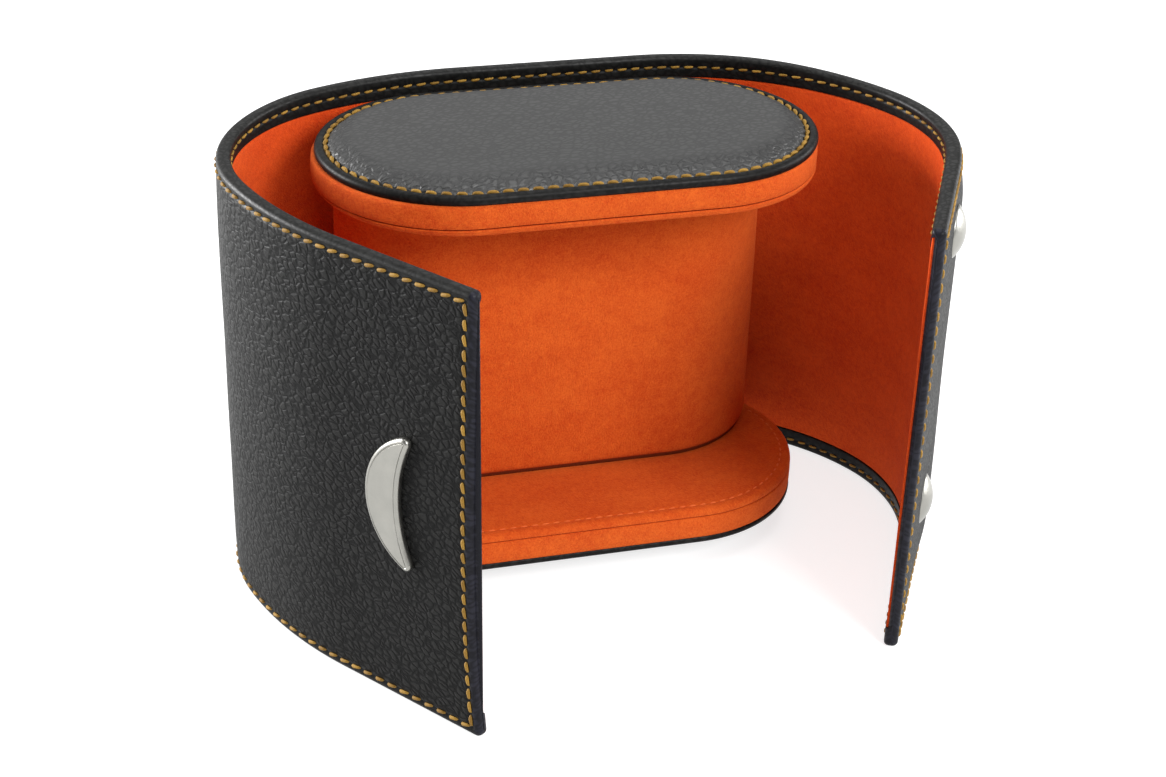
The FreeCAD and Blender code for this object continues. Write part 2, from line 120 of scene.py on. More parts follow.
def arc(centre_a, centre_b, radius, start, end, steps):
    """Points of a round corner in a plane of two axes, angles in degrees, ends included."""
    points = []
    for i in range(steps + 1):
        angle = math.radians(lerp(start, end, i / steps))
        points.append((centre_a + radius * math.cos(angle), centre_b + radius * math.sin(angle)))
    return points


def add_object(name, data):
    thing = bpy.data.objects.new(name, data)
    bpy.context.scene.collection.objects.link(thing)
    return thing


def build(name, points, faces, material, grain, values=None, merge=False):
    """A smooth mesh object from points in millimetres.

    grain gives each point's place on the flat, uncut material, also in millimetres. values is
    a dict of further numbers for each point. Faces of more than four sides are flat ends.
    """
    mesh = bpy.data.meshes.new(name)
    mesh.from_pydata([(x * MM, y * MM, z * MM) for x, y, z in points], [], faces)
    layer = mesh.attributes.new("grain", "FLOAT_VECTOR", "POINT")
    layer.data.foreach_set("vector", [c for g in grain for c in g])
    for key, numbers in (values or {}).items():
        mesh.attributes.new(key, "FLOAT", "POINT").data.foreach_set("value", numbers)
    made = bmesh.new()
    made.from_mesh(mesh)
    if merge:
        bmesh.ops.remove_doubles(made, verts=made.verts, dist=0.002 * MM)
    bmesh.ops.recalc_face_normals(made, faces=made.faces)
    made.to_mesh(mesh)
    made.free()
    mesh.polygons.foreach_set("use_smooth", [len(p.vertices) <= 4 for p in mesh.polygons])
    ends = {key for p in mesh.polygons if len(p.vertices) > 4 for key in p.edge_keys}
    for edge in mesh.edges:
        edge.use_edge_sharp = edge.key in ends
    mesh.materials.append(material)
    return add_object(name, mesh)


def grid_faces(columns, rows, loop_columns=False, loop_rows=False):
    """Quads between neighbouring columns, where point (c, r) is number c * rows + r."""
    faces = []
    for c in range(columns if loop_columns else columns - 1):
        after = (c + 1) % columns
        for r in range(rows if loop_rows else rows - 1):
            up = (r + 1) % rows
            faces.append((c * rows + r, c * rows + up, after * rows + up, after * rows + r))
    return faces


def bar_faces(columns, rows):
    """Faces of a bar with flat ends, where each column of points is a loop round it."""
    last = (columns - 1) * rows
    ends = [tuple(range(rows)), tuple(last + r for r in reversed(range(rows)))]
    return grid_faces(columns, rows, loop_rows=True) + ends


# ---- the wall's plan ----
def run_length(run):
    return run[0] * math.radians(run[1]) if run[1] else run[0]


LEFT_END = sum(run_length(run) for run in LEFT_RUNS)
RIGHT_END = sum(run_length(run) for run in RIGHT_RUNS)


def spot(s):
    """Plan point and outward normal at distance s along the lining face, negative to the left."""
    side = -1.0 if s < 0 else 1.0
    runs = LEFT_RUNS if s < 0 else RIGHT_RUNS
    left_over = abs(s)
    x = 0.0
    y = 0.0
    turned = 0.0
    for run in runs:
        is_last = run is runs[-1]
        step = left_over if is_last else min(left_over, run_length(run))
        if run[1]:
            after = turned + step / run[0]
            x += run[0] * (math.sin(after) - math.sin(turned))
            y += run[0] * (math.cos(after) - math.cos(turned))
            turned = after
        else:
            x += step * math.cos(turned)
            y -= step * math.sin(turned)
        left_over -= step
        if left_over <= 0:
            break
    place = Vector((SPOOL_X + side * x, BACK_Y + y, 0))
    return place, Vector((side * math.sin(turned), math.cos(turned), 0))


def bulge(s, z):
    """How far the outer face stands out from the plain wall, fullest at the right bend."""
    from_right = RIGHT_END - s
    right = RIGHT_SWELL * smoothstep(-6, 54, from_right) * (1 - smoothstep(62, 120, from_right))
    low_swell = LOW_SWELL * smoothstep(75, 15, z) * smoothstep(26, 54, from_right)
    right *= (1 + low_swell) * smoothstep(0, 12, from_right)
    from_left = LEFT_END + s
    left = LEFT_SWELL * smoothstep(30, 60, from_left) * (1 - smoothstep(80, 120, from_left))
    return (right + left) * (1 - 0.75 * smoothstep(89, 99.5, z)) * smoothstep(-6, 9, z)


def lean(s, z):
    """How far the left flap is drawn towards its front edge, most at its lower corner."""
    share = smoothstep(40, 0, LEFT_END + s)
    middle = MIDDLE_DRAW * math.sin(math.pi * z / HEIGHT)
    return share * (CORNER_DRAW * (1 - z / HEIGHT) ** 5 - middle)


def wall_point(s, out, z):
    """The point at distance s along the wall, out from the lining face, at height z."""
    place, normal = spot(s - lean(s, z))
    point = place + normal * (out + bulge(s, z) * smoothstep(1.2, WALL_T, out))
    rise = BACK_RISE * smoothstep(HEIGHT - 2, HEIGHT, z) * (1 - smoothstep(50, 85, abs(s)))
    return Vector((point.x, point.y, z + rise))


# Stitch holes lie at HOLE_0 + k * PITCH along the wall. The wall is made in pieces that meet
# at stitch holes, one piece for each fold.
HOLE_0 = STITCH_INSET - LEFT_END
HOLE_END = RIGHT_END - STITCH_INSET
HOLE_COUNT = round((HOLE_END - HOLE_0) / STITCH_PITCH)
PITCH = (HOLE_END - HOLE_0) / HOLE_COUNT
# The upright rows beside the front edges have their own count and pitch.
UPRIGHT_COUNT = round((HEIGHT - 2 * STITCH_INSET) / STITCH_PITCH)
UPRIGHT_PITCH = (HEIGHT - 2 * STITCH_INSET) / UPRIGHT_COUNT

# The wall's panels along it, and the folds between them.
PANELS = ("left_flap", "left_end", "left_rear", "back", "right_rear", "right_end", "right_flap")
FOLDS = (-122.0, -78.0, -40.0, 36.0, 73.4, 114.9)


def segments():
    """(number, first hole, last hole, fold) of each piece: they meet midway between folds."""
    meets = [round(((a + b) / 2 - HOLE_0) / PITCH) for a, b in zip(FOLDS, FOLDS[1:])]
    return zip(range(1, len(PANELS)), [0] + meets, meets + [HOLE_COUNT], FOLDS)


def bend(thing, fold, *panels):
    """Bake a piece of wall's transform into its mesh."""
    place, normal = spot(fold)
    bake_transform(thing)


def hole_pull(along, pitch):
    """How much the thread pulls the leather in: 1 at a hole, less in the middle of a stitch."""
    return 0.6 + 0.4 * math.cos(2 * math.pi * along / pitch)


def groove(across, along, pitch):
    return GROOVE_DEPTH * math.exp(-(across / GROOVE_WIDTH) ** 2) * hole_pull(along, pitch)


def front_distance(s):
    """Distance along the wall to the nearer front edge."""
    return min(s + LEFT_END, RIGHT_END - s)


def thread_groove(s, z, tall):
    """Depth of the stitch grooves at a place on the wall. tall adds the upright rows."""
    depth = 0.0
    low = STITCH_INSET
    high = HEIGHT - STITCH_INSET
    if HOLE_0 - GROOVE_WIDTH < s < HOLE_END + GROOVE_WIDTH:
        nearest = min(abs(z - low), abs(z - high))
        depth = groove(nearest, s - HOLE_0, PITCH)
    if tall and low - GROOVE_WIDTH < z < high + GROOVE_WIDTH:
        nearest = min(abs(s - HOLE_0), abs(s - HOLE_END))
        depth = max(depth, groove(nearest, z - low, UPRIGHT_PITCH))
    return depth


def inner_height(s, z):
    """A height on the inside, raised near the front edges, where the top border narrows."""
    below = HEIGHT - z
    if below < RIM_INNER_R or z < HEIGHT / 2:
        return z
    share = smoothstep(0.2, 2.0, front_distance(s))
    return HEIGHT - RIM_INNER_R - (below - RIM_INNER_R) * share


# Lines of points beside a row of stitches, so that its groove has a smooth section.
STITCH_OFFSETS = (-0.75, -0.5, -0.3, -0.12, 0.12, 0.3, 0.5, 0.75)


def wall_heights(fine):
    """Heights of the points on the wall's outer face. fine follows an upright row's stitches."""
    low = [RIM_OUTER_R] + [STITCH_INSET + o for o in STITCH_OFFSETS] + [3.1, 3.7, 4.5]
    if fine:
        step = UPRIGHT_PITCH / 4
        middle = [STITCH_INSET + i * step for i in range(4, 4 * UPRIGHT_COUNT - 3)]
    else:
        middle = [lerp(8.0, HEIGHT - 8.0, i / 12) for i in range(13)]
    heights = low + middle + [HEIGHT - h for h in low]
    return sorted(set(round(h, 4) for h in heights))


def wall_section(fine):
    """The leather's closed section: (out, z, kind), up the outside and down the inside."""
    section = [(WALL_T, z, "face") for z in wall_heights(fine)]
    turn = arc(WALL_T - RIM_OUTER_R, HEIGHT - RIM_OUTER_R, RIM_OUTER_R, 0, 90, 6)[1:]
    turn += arc(RIM_INNER_R - BORDER_RAISE, HEIGHT - RIM_INNER_R, RIM_INNER_R, 90, 180, 5)
    section += [(a, b, "rim") for a, b in turn]
    border = [STITCH_INSET + o for o in STITCH_OFFSETS] + [3.2, 3.8]
    section += [(-BORDER_RAISE, HEIGHT - h, "border") for h in border]
    low = HEIGHT - BORDER_H
    lip = arc(BORDER_EDGE_R - BORDER_RAISE, low + BORDER_EDGE_R, BORDER_EDGE_R, 180, 270, 3)
    section += [(a, b, "lip") for a, b in lip]
    section += [(RECESS, low, "floor"), (RECESS, low - 1.0, "floor")]
    below = [(a, HEIGHT - b, kind) for a, b, kind in reversed(section) if kind != "face"]
    return section + below


def wall_columns(first, last):
    """Places along the wall from one stitch hole to another: (s, end inset)."""
    s0 = HOLE_0 + first * PITCH
    s1 = HOLE_0 + last * PITCH
    places = [s0 + i * PITCH / 4 for i in range(4 * (last - first) + 1)]
    places += [s0 + o for o in STITCH_OFFSETS] if first == 0 else [s0 + SEAM_STEP]
    places += [s1 + o for o in STITCH_OFFSETS] if last == HOLE_COUNT else [s1 - SEAM_STEP]
    columns = [(s, 0.0) for s in places if front_distance(s) > END_R]
    turn = []
    for i in range(9):
        angle = math.radians(90 * i / 8)
        turn.append((END_R * (1 - math.sin(angle)), END_R * (1 - math.cos(angle))))
    if first == 0:
        columns += [(d - LEFT_END, e) for d, e in turn]
    if last == HOLE_COUNT:
        columns += [(RIGHT_END - d, e) for d, e in turn]
    return sorted(columns)


def shrunk(out, z, inset):
    """A point of the section, drawn towards the section's middle near a front edge."""
    half_t = WALL_T / 2
    half_h = HEIGHT / 2
    return (
        half_t + (out - half_t) * (half_t - inset) / half_t,
        half_h + (z - half_h) * (half_h - inset) / half_h,
    )


def wall_leather(number, first, last):
    """A piece of the leather that covers the wall's outside, rim and inner borders."""
    at_front = first == 0 or last == HOLE_COUNT
    section = wall_section(at_front)
    columns = wall_columns(first, last)
    lengths = [0.0]
    for (a, b, _), (c, d, _) in zip(section, section[1:]):
        lengths.append(lengths[-1] + math.hypot(c - a, d - b))
    points = []
    grain = []
    smooth = []
    for s, inset in columns:
        for (out, z, kind), length in zip(section, lengths):
            edge = min(z, HEIGHT - z, front_distance(s))
            if kind == "face":
                swell = FACE_UNEVEN * noise.noise(Vector((s / 23, z / 23, 1.5)))
                out += swell * smoothstep(3, 9, edge) - thread_groove(s, z, at_front)
            elif kind == "border" and front_distance(s) >= STITCH_INSET + 0.5:
                out += thread_groove(s, z, at_front)
            z_in = z if kind in ("face", "rim") else inner_height(s, z)
            points.append(wall_point(s, *shrunk(out, z_in, inset)))
            grain.append((s, length, 0.0))
            smooth.append(1 - smoothstep(1.9, 3.6, edge) if kind == "face" else 1.0)
    faces = bar_faces(len(columns), len(section))
    name = "wall_leather_%d" % number
    made = build(name, points, faces, leather, grain, {"smooth_edge": smooth})
    # The round front edges and the top rim each have a leather of their own.
    made.data.materials.append(rim_leather)
    made.data.materials.append(edge_leather)
    for face in made.data.polygons:
        if min(front_distance(grain[v][0]) for v in face.vertices) < 0.9 * END_R:
            face.material_index = 2
        elif face.normal.z > 0.25:
            face.material_index = 1
    return made


def lining_turn(edge, share, z):
    """Where the lining goes on its way round a front edge: (s, end inset).

    share is 0 where it leaves the flat face, 1 where it stops and more where it tucks in.
    """
    full = LEFT_LINING_TURN if edge < 0 else RIGHT_LINING_TURN
    angle = math.radians(full * min(share, 1.0) * (0.3 + 0.7 * smoothstep(12, 80, z)))
    distance = END_R * (1 - math.sin(angle)) - 0.16 * math.sin(angle)
    inset = END_R * (1 - math.cos(angle))
    if share > 1:
        distance = max(0.25, distance - 0.1)
        inset += 0.14
    return math.copysign(abs(edge) - distance, edge), inset


def wall_lining(number, first, last):
    """A piece of lining, glued into the leather's recess, with soft upper and lower edges."""
    low = BORDER_H + 0.04
    high = HEIGHT - low
    r = LINING_EDGE_R
    face = LINING_FACE
    back = RECESS + 0.1
    section = [(back, low), (face + r, low)]
    section += arc(face + r, low + r, r, 270, 180, 3)[1:]
    section += [(face, lerp(low + 1, high - 1, i / 20)) for i in range(21)]
    section += arc(face + r, high - r, r, 180, 90, 3)
    section += [(back, high)]
    s0 = HOLE_0 + first * PITCH
    s1 = HOLE_0 + last * PITCH
    places = [s0 + i * PITCH / 2 for i in range(2 * (last - first) + 1)]
    columns = [(s, None) for s in places if front_distance(s) > END_R + 0.2]
    turn = [i / 8 for i in range(9)] + [1.2]
    if first == 0:
        columns = [(-LEFT_END, share) for share in reversed(turn)] + columns
    else:
        columns.insert(1, (s0 + SEAM_STEP, None))
    if last == HOLE_COUNT:
        columns += [(RIGHT_END, share) for share in turn]
    else:
        columns.insert(-1, (s1 - SEAM_STEP, None))
    points = []
    grain = []
    for place, share in columns:
        for out, z in section:
            s, inset = (place, 0.0) if share is None else lining_turn(place, share, z)
            if out < back:
                out += 0.06 * noise.noise(Vector((s / 9, z / 9, 4.0)))
            z_in = inner_height(s, z) if z > high - 1 else z
            points.append(wall_point(s, *shrunk(out, z_in, inset)))
            grain.append((s, z, inset))
    faces = bar_faces(len(columns), len(section))
    return build("wall_lining_%d" % number, points, faces, shaded_lining_suede, grain)


# ---- stitches ----
class Stitches:
    """Collects single stitches into one mesh."""

    RINGS = 9
    SIDES = 8
    PATTERN = bar_faces(RINGS, SIDES)

    def __init__(self):
        self.points = []
        self.faces = []
        self.grain = []
        self.shade = []

    def add(self, centre, along, normal, length, width, slant):
        """A plump stitch of two twisted strands, whose ends dive into the leather."""
        across = normal.cross(along)
        first = len(self.points)
        skew = slant * length / 2 * (1 + dice.uniform(-0.4, 0.4))
        size = length * (1 + dice.uniform(-0.06, 0.06))
        tone = dice.random()
        offset = 10 * tone
        for i in range(self.RINGS):
            t = 2 * i / (self.RINGS - 1) - 1
            fat = 0.3 + 0.7 * math.sqrt(1 - t ** 4)
            lift = width * (0.22 * (1 - t * t) - 0.55 * t ** 6)
            for j in range(self.SIDES):
                angle = 2 * math.pi * j / self.SIDES
                strand = 1 + 0.1 * math.cos(2 * angle - 4 * t)
                wide = width / 2 * fat * strand * math.cos(angle)
                high = width / 2 * 0.85 * fat * strand * math.sin(angle)
                at = along * (t * size / 2) + across * (wide + t * skew) + normal * (lift + high)
                self.points.append(centre + at)
                self.grain.append((t * size / 2 + offset, width * angle / 2, 0.0))
                self.shade.append(tone)
        self.faces += [tuple(first + i for i in face) for face in self.PATTERN]

    def build(self, name, material):
        return build(name, self.points, self.faces, material, self.grain, {"shade": self.shade})


def wall_thread(number, first, last):
    """A piece's stitches: rows along its rims on both faces, and an upright row at a front."""
    row = Stitches()
    size = (STITCH_LENGTH, STITCH_WIDTH, STITCH_SLANT)
    inner_size = (0.88 * STITCH_LENGTH, 0.76 * STITCH_WIDTH, 0.4 * STITCH_SLANT)
    sunk = 0.3 * GROOVE_DEPTH
    surface_out = WALL_T - sunk
    surface_in = sunk - BORDER_RAISE
    for k in range(first, last):
        s = HOLE_0 + (k + 0.5) * PITCH
        normal = spot(s)[1]
        along = Vector((normal.y, -normal.x, 0))
        for z in (STITCH_INSET, HEIGHT - STITCH_INSET):
            row.add(wall_point(s, surface_out, z), along, normal, *size)
            row.add(wall_point(s, surface_in, z), along, -normal, *inner_size)
    for edge, used in ((HOLE_0, first == 0), (HOLE_END, last == HOLE_COUNT)):
        if used:
            normal = spot(edge)[1]
            for k in range(UPRIGHT_COUNT):
                z = STITCH_INSET + (k + 0.5) * UPRIGHT_PITCH
                row.add(wall_point(edge, surface_out, z), -UP, normal, *size)
    return row.build("wall_thread_%d" % number, gold_thread)


# ---- discs ----
DISC_STITCHES = 87
DISC_COLUMNS = 4 * DISC_STITCHES


DISC_ROW_R = DISC_R - DISC_STITCH_INSET
DISC_ROW_LENGTH = 4 * DISC_HALF_STRAIGHT + 2 * math.pi * DISC_ROW_R


def oblong_spot(share, inset):
    """Plan point and outward normal, at a share of the way round from the front's middle.

    Shares are measured along the stitch row, so that columns meet the stitch holes.
    """
    way = (share % 1.0) * DISC_ROW_LENGTH
    turn_length = math.pi * DISC_ROW_R
    half = DISC_HALF_STRAIGHT
    if way <= half:
        centre, angle = way, -90.0
    elif way <= half + turn_length:
        centre, angle = half, math.degrees((way - half) / DISC_ROW_R) - 90
    elif way <= 3 * half + turn_length:
        centre, angle = 2 * half + turn_length - way, 90.0
    elif way <= 3 * half + 2 * turn_length:
        centre, angle = -half, 90 + math.degrees((way - 3 * half - turn_length) / DISC_ROW_R)
    else:
        centre, angle = way - 4 * half - 2 * turn_length, 270.0
    turn = math.radians(angle)
    normal = Vector((math.cos(turn), math.sin(turn), 0))
    reach = DISC_R - inset
    return Vector((SPOOL_X + centre, SPOOL_Y, 0)) + normal * reach, normal


def disc_shell(name, section, material, move=None, **values):
    """A closed skin round an oblong: section is a list of (inset, z), closed at the middle.

    move can shift a point, and values are further numbers for each point of the section.
    """
    points = []
    for column in range(DISC_COLUMNS):
        share = column / DISC_COLUMNS
        for inset, z in section:
            if move:
                inset, z = move(share, inset, z)
            point = oblong_spot(share, inset)[0]
            points.append((point.x, point.y, z))
    faces = grid_faces(DISC_COLUMNS, len(section), loop_columns=True)
    values = {key: numbers * DISC_COLUMNS for key, numbers in values.items()}
    return build(name, points, faces, material, points, values, merge=True)


# ---- top disc ----
RIM_BEAD = (1.1, 96.05)       # middle of the rolled rim: inset and height
RIM_BEAD_R = 1.22
GROOVE_Z = 96.7
PAD_START = 2.6               # inset where the pad rises out of the stitched groove
PAD_SHOULDER = 6.6            # it rises over this distance
PAD_HEIGHT = 2.45
PAD_CROWN = 0.35
PUCKER = 0.12                 # how far the thread pulls the leather down at its holes
WRINKLE = 0.4


def pad_height(inset):
    t = min(1.0, max(0.0, (inset - PAD_START) / PAD_SHOULDER))
    swell = 1 - (1 - t) ** 2.2
    return GROOVE_Z + 0.05 + PAD_HEIGHT * swell + PAD_CROWN * smoothstep(5, 26, inset)


def pad_pucker(share, inset, z):
    """Pull the leather down at the stitch holes, and wrinkle the pad's shoulder beside them."""
    way = share * DISC_ROW_LENGTH
    near = math.exp(-((inset - DISC_STITCH_INSET) / 0.45) ** 2)
    if z > GROOVE_Z - 1:
        z -= PUCKER * near * hole_pull(way, DISC_ROW_LENGTH / DISC_STITCHES)
    if inset > PAD_START and z > GROOVE_Z:
        place = oblong_spot(share, inset)[0]
        fade = math.exp(-(inset - PAD_START) / 2.6)
        wrinkle = noise.noise(Vector((way / 1.9, inset / 3.5, 0.5)))
        wrinkle += 0.6 * noise.noise(Vector((way / 0.9, inset / 1.6, 7.5)))
        z += WRINKLE * wrinkle * fade * smoothstep(PAD_START, PAD_START + 0.8, inset)
        z += 0.1 * noise.noise(Vector((place.x / 14, place.y / 14, 3.5)))
    return inset, z


def top_cover():
    """The padded leather top, its stitched groove and the rolled rim round it."""
    # Rings of points from the middle outwards, closer together towards the stitches.
    insets = [DISC_R, 26.0, 21.0, 17.0, 14.0, 12.0, 10.5, 9.2, 8.2, 7.4, 6.8, 6.3, 5.8, 5.4]
    insets += [5.0, 4.7, 4.4, 4.1, 3.85, 3.6, 3.4, 3.2, 3.05, 2.9, 2.78, 2.68, 2.6]
    section = [(i, pad_height(i)) for i in insets]
    section.append((DISC_STITCH_INSET, GROOVE_Z))
    for i in range(19):
        turn = math.radians(lerp(150, -68, i / 18))
        a = RIM_BEAD[0] - RIM_BEAD_R * math.cos(turn)
        section.append((a, RIM_BEAD[1] + RIM_BEAD_R * math.sin(turn)))
    # Then inwards again, under the pad.
    section += [(1.3, 95.1), (1.5, 95.6), (3.0, 95.8), (5.2, 97.2), (8.0, 98.2), (DISC_R, 98.6)]
    smooth = []
    for inset, _ in section:
        shoulder = smoothstep(2.3, 3.0, inset) * (1 - 0.8 * smoothstep(5.5, 8.5, inset))
        smooth.append(1 - 0.6 * shoulder)
    made = disc_shell("top_leather", section, top_leather, pad_pucker, smooth_edge=smooth)
    made.data.materials.append(leather)
    for face in made.data.polygons:
        across = face.center / MM - Vector((SPOOL_X, SPOOL_Y, 0))
        reach = math.hypot(max(abs(across.x) - DISC_HALF_STRAIGHT, 0), across.y)
        face.material_index = int(reach > DISC_ROW_R)
    return made


BAND_SWELL = 0.9              # the top disc's suede stands out this much at its left end


def top_band_move(share, inset, z):
    x = oblong_spot(share, inset)[0].x - SPOOL_X
    if inset < 1:
        inset -= BAND_SWELL * smoothstep(15, 56, -x) * smoothstep(88, 91, z)
    return inset, z


def top_suede():
    """The top disc's underside and side band, with a seam groove round the band's foot."""
    low = TOP_BOTTOM
    section = [(DISC_R, low), (16.0, low), (8.0, low), (4.0, low), (2.0, low)]
    section += arc(1.1, low + 1.1, 1.1, 270, 180, 6)
    section += [(-0.1, 89.4), (-0.06, 89.66), (0.06, 89.8), (0.5, 89.92), (0.52, 89.98)]
    section += [(0.04, 90.12), (-0.08, 90.3), (-0.12, 91.5), (-0.14, 92.6), (-0.08, 93.8)]
    section += [(0.05, 94.7), (0.4, 95.15), (0.9, 95.25)]
    section += [(1.4, 95.0), (1.4, 89.8), (2.0, 89.1), (DISC_R, 89.1)]
    # Painted shade along the seam groove round the band's foot.
    crease = [smoothstep(0.12, 0.35, a) * (89.7 < z < 90.3) for a, z in section]
    return disc_shell("top_suede", section, suede, top_band_move, crease=crease)


def disc_row(name, count, z, length, width, slant, material, keep=None):
    """Stitches round a disc's face. keep says whether there is one at a share of the way."""
    row = Stitches()
    for k in range(count):
        share = (k + 0.5) / count
        if keep and not keep(share):
            continue
        point, normal = oblong_spot(share, DISC_STITCH_INSET)
        along = Vector((-normal.y, normal.x, 0))
        row.add(Vector((point.x, point.y, z)), along, UP, length, width, slant)
    return row.build(name, material)


# ---- base disc ----
BASE_PITCH = 2.5              # of the fine row of stitches


def base_suede():
    """The base disc's top, with a shallow stitched groove, and its band with a seam groove."""
    top = BASE_TOP
    section = [(DISC_R, top), (20.0, top), (12.0, top), (7.0, top), (4.0, top), (3.0, top)]
    section += [(2.75, top - 0.03), (2.55, top - 0.12), (2.4, top - 0.16), (2.25, top - 0.12)]
    section += [(2.05, top - 0.03), (1.6, top + 0.02)]
    section += arc(1.2, top - 1.2, 1.2, 90, 180, 6)
    section += [(-0.06, 13.55), (0.0, 13.36), (0.1, 13.28), (0.42, 13.2), (0.42, 13.15)]
    section += [(0.05, 13.02), (-0.06, 12.8), (-0.1, 11.0), (-0.06, 9.0), (0.04, 7.9)]
    section += [(0.35, 7.4), (0.9, 7.3), (1.4, 7.6), (1.4, 13.4), (2.0, 14.1), (DISC_R, 14.1)]
    # Painted shade along the band's seam groove, a little lighter than at the top disc.
    crease = [0.7 * smoothstep(0.12, 0.35, a) * (13.0 < z < 13.4) for a, z in section]
    return disc_shell("base_suede", section, suede, crease=crease)


def base_cover():
    """The leather underneath, with its rim turned up round the base disc's lower edge."""
    low = BASE_BOTTOM
    section = [(DISC_R, low), (16.0, low), (8.0, low), (4.0, low), (2.0, low)]
    section += arc(0.8, low + 0.9, 0.9, 270, 180, 6)
    section += [(-0.1, 7.2), (0.02, 7.5), (0.3, 7.7), (0.8, 7.75)]
    section += [(1.3, 7.5), (1.4, 6.9), (DISC_R, 6.8)]
    return disc_shell("base_leather", section, leather, smooth_edge=[0.8] * len(section))


# ---- column ----
CORE_FRONT = -6.0
CORE_HALF_WIDTH = 51.5
CORE_CORNER_R = 27.0
CORE_BACK_INSET = 1.0
CORE_COLUMNS = 260
CORE_MIDDLE = Vector((0.0, 10.0))  # a point well inside the outline
CORE_DEPTH = 60.0             # of the block, which reaches past the back of the discs
CORE_SOFT = 2.0               # the two outlines meet softly over this distance


def core_distance(x, y):
    """Signed distance from the column's outline: a rounded block, cut off by the discs' shape."""
    half_y = CORE_DEPTH / 2
    dx = abs(x) - CORE_HALF_WIDTH + CORE_CORNER_R
    dy = abs(y - CORE_FRONT - half_y) - half_y + CORE_CORNER_R
    block = math.hypot(max(dx, 0), max(dy, 0)) + min(max(dx, dy), 0) - CORE_CORNER_R
    across = max(abs(x) - DISC_HALF_STRAIGHT, 0)
    discs = math.hypot(across, y) - DISC_R + CORE_BACK_INSET
    soft = max(0.0, CORE_SOFT - abs(block - discs)) / CORE_SOFT
    return max(block, discs) + soft * soft * 0.5


def core_outline():
    """Points of the column's outline, each found by halving the distance along a ray."""
    outline = []
    for i in range(CORE_COLUMNS):
        angle = 2 * math.pi * i / CORE_COLUMNS
        ray = Vector((math.sin(angle) * 1.8, -math.cos(angle))).normalized()
        near, far = 0.0, 90.0
        for _ in range(40):
            middle = (near + far) / 2
            at = CORE_MIDDLE + ray * middle
            near, far = (middle, far) if core_distance(at.x, at.y) < 0 else (near, middle)
        outline.append(CORE_MIDDLE + ray * near)
    return outline


def core_sleeve():
    """The column's suede, tucked in where it meets the discs."""
    low = BASE_TOP
    high = TOP_BOTTOM
    curl = [(0.68, 0.02), (0.67, 0.4), (0.6, 0.65), (0.38, 0.95), (0.15, 1.35), (0.0, 2.1)]
    section = [(a, low + b) for a, b in curl]
    section += [(0.0, lerp(low + 3, high - 3, i / 20)) for i in range(21)]
    section += [(a, high - b) for a, b in reversed(curl)]
    section += [(1.6, high - 0.4), (1.6, low + 0.4)]
    outline = core_outline()
    points = []
    for i, at in enumerate(outline):
        way = outline[(i + 1) % CORE_COLUMNS] - outline[i - 1]
        normal = Vector((way.y, -way.x)).normalized()
        for inset, z in section:
            ripple = 0.09 * noise.noise(Vector((at.x / 11, at.y / 11, z / 13)))
            place = at - normal * (inset - ripple * (inset < 0.05))
            points.append((SPOOL_X + place.x, SPOOL_Y + place.y, z))
    faces = grid_faces(CORE_COLUMNS, len(section), loop_columns=True, loop_rows=True)
    # Painted shade in the tucked curls where the column meets the discs.
    crease = [smoothstep(0.05, 0.4, a) for a, _ in section] * CORE_COLUMNS
    return build("core_suede", points, faces, suede, points, {"crease": crease})


def back_pad():
    """The pad between the column and the wall, a block with soft edges."""
    low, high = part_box("spine_pad")
    made = bmesh.new()
    bmesh.ops.create_cube(made, size=1.0)
    bmesh.ops.scale(made, vec=high - low, verts=made.verts)
    bmesh.ops.translate(made, vec=(low + high) / 2, verts=made.verts)
    soft = {"offset": 1.4 * MM, "segments": 4, "affect": "EDGES", "profile": 0.5}
    bmesh.ops.bevel(made, geom=made.edges[:], **soft)
    points = [v.co / MM for v in made.verts]
    faces = [[v.index for v in f.verts] for f in made.faces]
    made.free()
    return build("back_pad", points, faces, suede, points)


# ---- metal ----
CLASP_EDGE_DISTANCE = 14.0
CLASP_Z = 48.8
CLASP_HALF_HEIGHT = 16.1
CLASP_OUTER_SAGITTA = 13.2
CLASP_INNER_SAGITTA = 4.2
CLASP_TIP_R = 1.3
STUD_EDGE_DISTANCE = 28.4
STUD_Z = (22.0, 88.0)
STUD_R = 5.7
STUD_H = 2.1
STUD_SIDES = 56
METAL_SUNK = 0.4              # how far the studs' undersides reach into the leather


def crescent_outline(inset):
    """Points of the crescent, drawn in by inset: two long arcs joined by two round tips."""
    outer_r = (CLASP_HALF_HEIGHT ** 2 + CLASP_OUTER_SAGITTA ** 2) / (2 * CLASP_OUTER_SAGITTA)
    inner_r = (CLASP_HALF_HEIGHT ** 2 + CLASP_INNER_SAGITTA ** 2) / (2 * CLASP_INNER_SAGITTA)
    outer_x = outer_r - CLASP_OUTER_SAGITTA
    inner_x = inner_r - CLASP_INNER_SAGITTA
    near = outer_r - CLASP_TIP_R
    far = inner_r + CLASP_TIP_R
    gap = inner_x - outer_x
    tip_x = outer_x + (near ** 2 - far ** 2 + gap ** 2) / (2 * gap)
    tip_y = math.sqrt(near ** 2 - (tip_x - outer_x) ** 2)
    outer_turn = math.degrees(math.atan2(tip_y, tip_x - outer_x))
    inner_turn = math.degrees(math.atan2(tip_y, tip_x - inner_x))
    tip_r = CLASP_TIP_R - inset
    points = arc(outer_x, 0, outer_r - inset, outer_turn, 360 - outer_turn, 40)
    points += arc(tip_x, -tip_y, tip_r, -outer_turn, 180 - inner_turn, 10)[1:]
    points += arc(inner_x, 0, inner_r + inset, -inner_turn, inner_turn - 360, 28)[1:]
    points += arc(tip_x, tip_y, tip_r, inner_turn - 180, outer_turn, 10)[1:-1]
    return points


